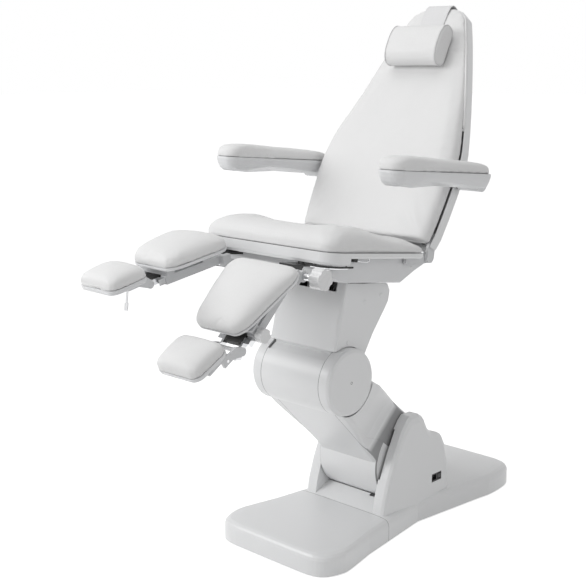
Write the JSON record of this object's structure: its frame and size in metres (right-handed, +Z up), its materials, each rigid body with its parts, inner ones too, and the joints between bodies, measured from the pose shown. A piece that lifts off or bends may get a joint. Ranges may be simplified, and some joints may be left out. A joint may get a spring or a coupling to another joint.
{
  "type": "podiatry chair",
  "caption": "Electric podiatry chair: folding lift arm on a flat base, tilting seat, reclining back with armrests and pillow, split leg rests with sliding foot pads.",
  "frame": {"origin": "middle of the base plate underside, on the floor", "axes": "+Z up, the chair faces -Y, +X is the sitter's left"},
  "size_m": [0.75, 1.5999, 1.6715],
  "materials": {
    "cover": "satin",
    "trim": "satin",
    "padding": "soft satin",
    "steel": "satin",
    "black": "satin",
    "chrome": "polished",
    "plastic": "matte"
  },
  "bodies": {
    "base": {"base_plate": "steel", "base_cover_front": "cover", "base_cover_rear": "cover", "lower_shaft": "steel", "power_inlet": "plastic", "control_box": "plastic", "base_screws": "steel"},
    "power_switch": {"power_switch": "plastic"},
    "lift_tube": {"lift_motor": "steel"},
    "lift_rod": {"lift_rod": "chrome"},
    "lower_arm": {"lower_arm_frame": "steel", "lower_arm_cover_left": "cover", "lower_arm_cover_right": "cover", "lower_arm_front_cover": "cover", "lift_chain": "steel", "knee_shaft": "steel"},
    "upper_arm": {"upper_arm_frame": "steel", "upper_arm_cover": "cover", "knee_sprocket": "steel", "level_chain": "steel"},
    "carrier": {"seat_carrier": "black", "seat_shaft": "steel"},
    "tilt_tube": {"tilt_motor": "plastic"},
    "tilt_rod": {"tilt_rod": "chrome"},
    "seat": {"seat_frame": "black", "seat_pan": "trim", "seat_skirt": "cover", "seat_cushion": "padding"},
    "back_tube": {"back_motor": "plastic"},
    "back_rod": {"back_rod": "chrome"},
    "back": {"back_frame": "black", "back_shell": "cover", "back_cushion": "padding", "head_strap": "padding"},
    "pillow": {"head_pillow": "padding"},
    "armrest_bracket_left": {"armrest_bracket_left": "black"},
    "armrest_left": {"armrest_shell_left": "trim", "armrest_pad_left": "padding"},
    "leg_bracket_left": {"leg_bracket_left": "black"},
    "leg_left": {"leg_frame_left": "steel", "leg_pad_left": "padding"},
    "leg_knob_left": {"leg_knob_left": "cover"},
    "foot_slide_left": {"foot_slide_left": "chrome"},
    "foot_knob_left": {"foot_knob_left": "cover"},
    "foot_left": {"foot_bracket_left": "black", "foot_pad_left": "padding"},
    "foot_lever_left": {"foot_lever_left": "chrome"},
    "armrest_bracket_right": {"armrest_bracket_right": "black"},
    "armrest_right": {"armrest_shell_right": "trim", "armrest_pad_right": "padding"},
    "leg_bracket_right": {"leg_bracket_right": "black"},
    "leg_right": {"leg_frame_right": "steel", "leg_pad_right": "padding"},
    "leg_knob_right": {"leg_knob_right": "cover"},
    "foot_slide_right": {"foot_slide_right": "chrome"},
    "foot_knob_right": {"foot_knob_right": "cover"},
    "foot_right": {"foot_bracket_right": "black", "foot_pad_right": "padding"},
    "foot_lever_right": {"foot_lever_right": "chrome"}
  },
  "joints": [
    {"name": "lift", "type": "hinge", "parent": "base", "child": "lower_arm", "pos_m": [0, -0.03, 0.215], "axis": [-1, 0, 0], "range_deg": [-25, 7]},
    {"name": "knee", "type": "hinge", "parent": "lower_arm", "child": "upper_arm", "pos_m": [0, -0.33672, 0.54972], "axis": [1, 0, 0], "range_deg": [-50, 14]},
    {"name": "level", "type": "hinge", "parent": "upper_arm", "child": "carrier", "pos_m": [0, -0.23536, 0.86167], "axis": [-1, 0, 0], "range_deg": [-25, 7]},
    {"name": "lift_tube_turn", "type": "hinge", "parent": "base", "child": "lift_tube", "pos_m": [-0.036, 0.06699, 0.159], "axis": [-1, 0, 0], "range_deg": [-12.5, 3.5]},
    {"name": "lift_rod_turn", "type": "hinge", "parent": "lower_arm", "child": "lift_rod", "pos_m": [-0.036, 0.00831, 0.32025], "axis": [-1, 0, 0], "range_deg": [-3.5, 12.5]},
    {"name": "tilt", "type": "hinge", "parent": "carrier", "child": "seat", "pos_m": [0, -0.33036, 0.86967], "axis": [-1, 0, 0], "range_deg": [-7.2, 4.8]},
    {"name": "tilt_tube_turn", "type": "hinge", "parent": "carrier", "child": "tilt_tube", "pos_m": [0, -0.43373, 0.90729], "axis": [-1, 0, 0], "range_deg": [-3.6, 2.4]},
    {"name": "tilt_rod_turn", "type": "hinge", "parent": "seat", "child": "tilt_rod", "pos_m": [0, -0.22699, 0.90729], "axis": [-1, 0, 0], "range_deg": [-2.4, 3.6]},
    {"name": "recline", "type": "hinge", "parent": "seat", "child": "back", "pos_m": [0, -0.071, 0.908], "axis": [-1, 0, 0], "range_deg": [0, 52]},
    {"name": "back_tube_turn", "type": "hinge", "parent": "seat", "child": "back_tube", "pos_m": [0, -0.15568, 0.90059], "axis": [-1, 0, 0], "range_deg": [0, 26]},
    {"name": "back_rod_turn", "type": "hinge", "parent": "back", "child": "back_rod", "pos_m": [0, -0.00589, 0.85336], "axis": [-1, 0, 0], "range_deg": [-26, 0]},
    {"name": "armrest_level_left", "type": "hinge", "parent": "back", "child": "armrest_bracket_left", "pos_m": [0.276, 0.03388, 1.13486], "axis": [-1, 0, 0], "range_deg": [-52, 0]},
    {"name": "armrest_fold_left", "type": "hinge", "parent": "armrest_bracket_left", "child": "armrest_left", "pos_m": [0.285, 0.03388, 1.13486], "axis": [-1, 0, 0], "range_deg": [0, 80]},
    {"name": "armrest_level_right", "type": "hinge", "parent": "back", "child": "armrest_bracket_right", "pos_m": [-0.276, 0.03388, 1.13486], "axis": [-1, 0, 0], "range_deg": [-52, 0]},
    {"name": "armrest_fold_right", "type": "hinge", "parent": "armrest_bracket_right", "child": "armrest_right", "pos_m": [-0.285, 0.03388, 1.13486], "axis": [-1, 0, 0], "range_deg": [0, 80]},
    {"name": "pillow_slide", "type": "slide", "parent": "back", "child": "pillow", "axis": [0, 0.4695, 0.8829], "range_m": [-0.05, 0.03]},
    {"name": "switch_rock", "type": "hinge", "parent": "base", "child": "power_switch", "pos_m": [0.162, 0.12024, 0.13], "axis": [0, 1, 0], "range_deg": [-6, 6]},
    {"name": "leg_swing_left", "type": "hinge", "parent": "seat", "child": "leg_bracket_left", "pos_m": [0.147, -0.52524, 0.98024], "axis": [0, 0.1253, 0.9921], "range_deg": [0, 12]},
    {"name": "leg_lift_left", "type": "hinge", "parent": "leg_bracket_left", "child": "leg_left", "pos_m": [0.147, -0.608, 0.921], "axis": [1, 0, 0], "range_deg": [-45, 30]},
    {"name": "leg_knob_turn_left", "type": "hinge", "parent": "leg_bracket_left", "child": "leg_knob_left", "pos_m": [0.262, -0.608, 0.921], "axis": [1, 0, 0], "continuous": true},
    {"name": "foot_slide_left", "type": "slide", "parent": "leg_left", "child": "foot_slide_left", "axis": [0, -0.7071, -0.7071], "range_m": [0, 0.08]},
    {"name": "foot_knob_turn_left", "type": "hinge", "parent": "leg_left", "child": "foot_knob_left", "pos_m": [0.207, -0.77205, 0.78524], "axis": [1, 0, 0], "continuous": true},
    {"name": "foot_tilt_left", "type": "hinge", "parent": "foot_slide_left", "child": "foot_left", "pos_m": [0.147, -0.81589, 0.74422], "axis": [1, 0, 0], "range_deg": [-12, 43]},
    {"name": "foot_lever_turn_left", "type": "hinge", "parent": "foot_left", "child": "foot_lever_left", "pos_m": [0.147, -0.87069, 0.73002], "axis": [1, 0, 0], "range_deg": [-20, 8]},
    {"name": "leg_swing_right", "type": "hinge", "parent": "seat", "child": "leg_bracket_right", "pos_m": [-0.147, -0.52524, 0.98024], "axis": [0, -0.1253, -0.9921], "range_deg": [-3, 9]},
    {"name": "leg_lift_right", "type": "hinge", "parent": "leg_bracket_right", "child": "leg_right", "pos_m": [-0.15091, -0.6079, 0.92099], "axis": [0.9986, -0.0519, 0.0066], "range_deg": [-10, 65]},
    {"name": "leg_knob_turn_right", "type": "hinge", "parent": "leg_bracket_right", "child": "leg_knob_right", "pos_m": [-0.26575, -0.60193, 0.92023], "axis": [0.9986, -0.0519, 0.0066], "continuous": true},
    {"name": "foot_slide_right", "type": "slide", "parent": "leg_right", "child": "foot_slide_right", "axis": [-0.05, -0.9835, -0.1738], "range_m": [0, 0.08]},
    {"name": "foot_knob_turn_right", "type": "hinge", "parent": "leg_right", "child": "foot_knob_right", "pos_m": [-0.22173, -0.81675, 0.90344], "axis": [0.9986, -0.0519, 0.0066], "continuous": true},
    {"name": "foot_tilt_right", "type": "hinge", "parent": "foot_slide_right", "child": "foot_right", "pos_m": [-0.16485, -0.87922, 0.89538], "axis": [0.9986, -0.0519, 0.0066], "range_deg": [-28, 27]},
    {"name": "foot_lever_turn_right", "type": "hinge", "parent": "foot_right", "child": "foot_lever_right", "pos_m": [-0.16781, -0.93559, 0.89978], "axis": [0.9986, -0.0519, 0.0066], "range_deg": [-20, 20]}
  ],
  "couplings": [
    {"joint": "knee", "follows": "lift", "ratio": 2},
    {"joint": "level", "follows": "lift", "ratio": 1},
    {"joint": "lift_tube_turn", "follows": "lift", "ratio": 0.5},
    {"joint": "lift_rod_turn", "follows": "lift", "ratio": -0.5},
    {"joint": "tilt_tube_turn", "follows": "tilt", "ratio": 0.5},
    {"joint": "tilt_rod_turn", "follows": "tilt", "ratio": -0.5},
    {"joint": "back_tube_turn", "follows": "recline", "ratio": 0.5},
    {"joint": "back_rod_turn", "follows": "recline", "ratio": -0.5},
    {"joint": "armrest_level_left", "follows": "recline", "ratio": -1},
    {"joint": "armrest_level_right", "follows": "recline", "ratio": -1}
  ]
}
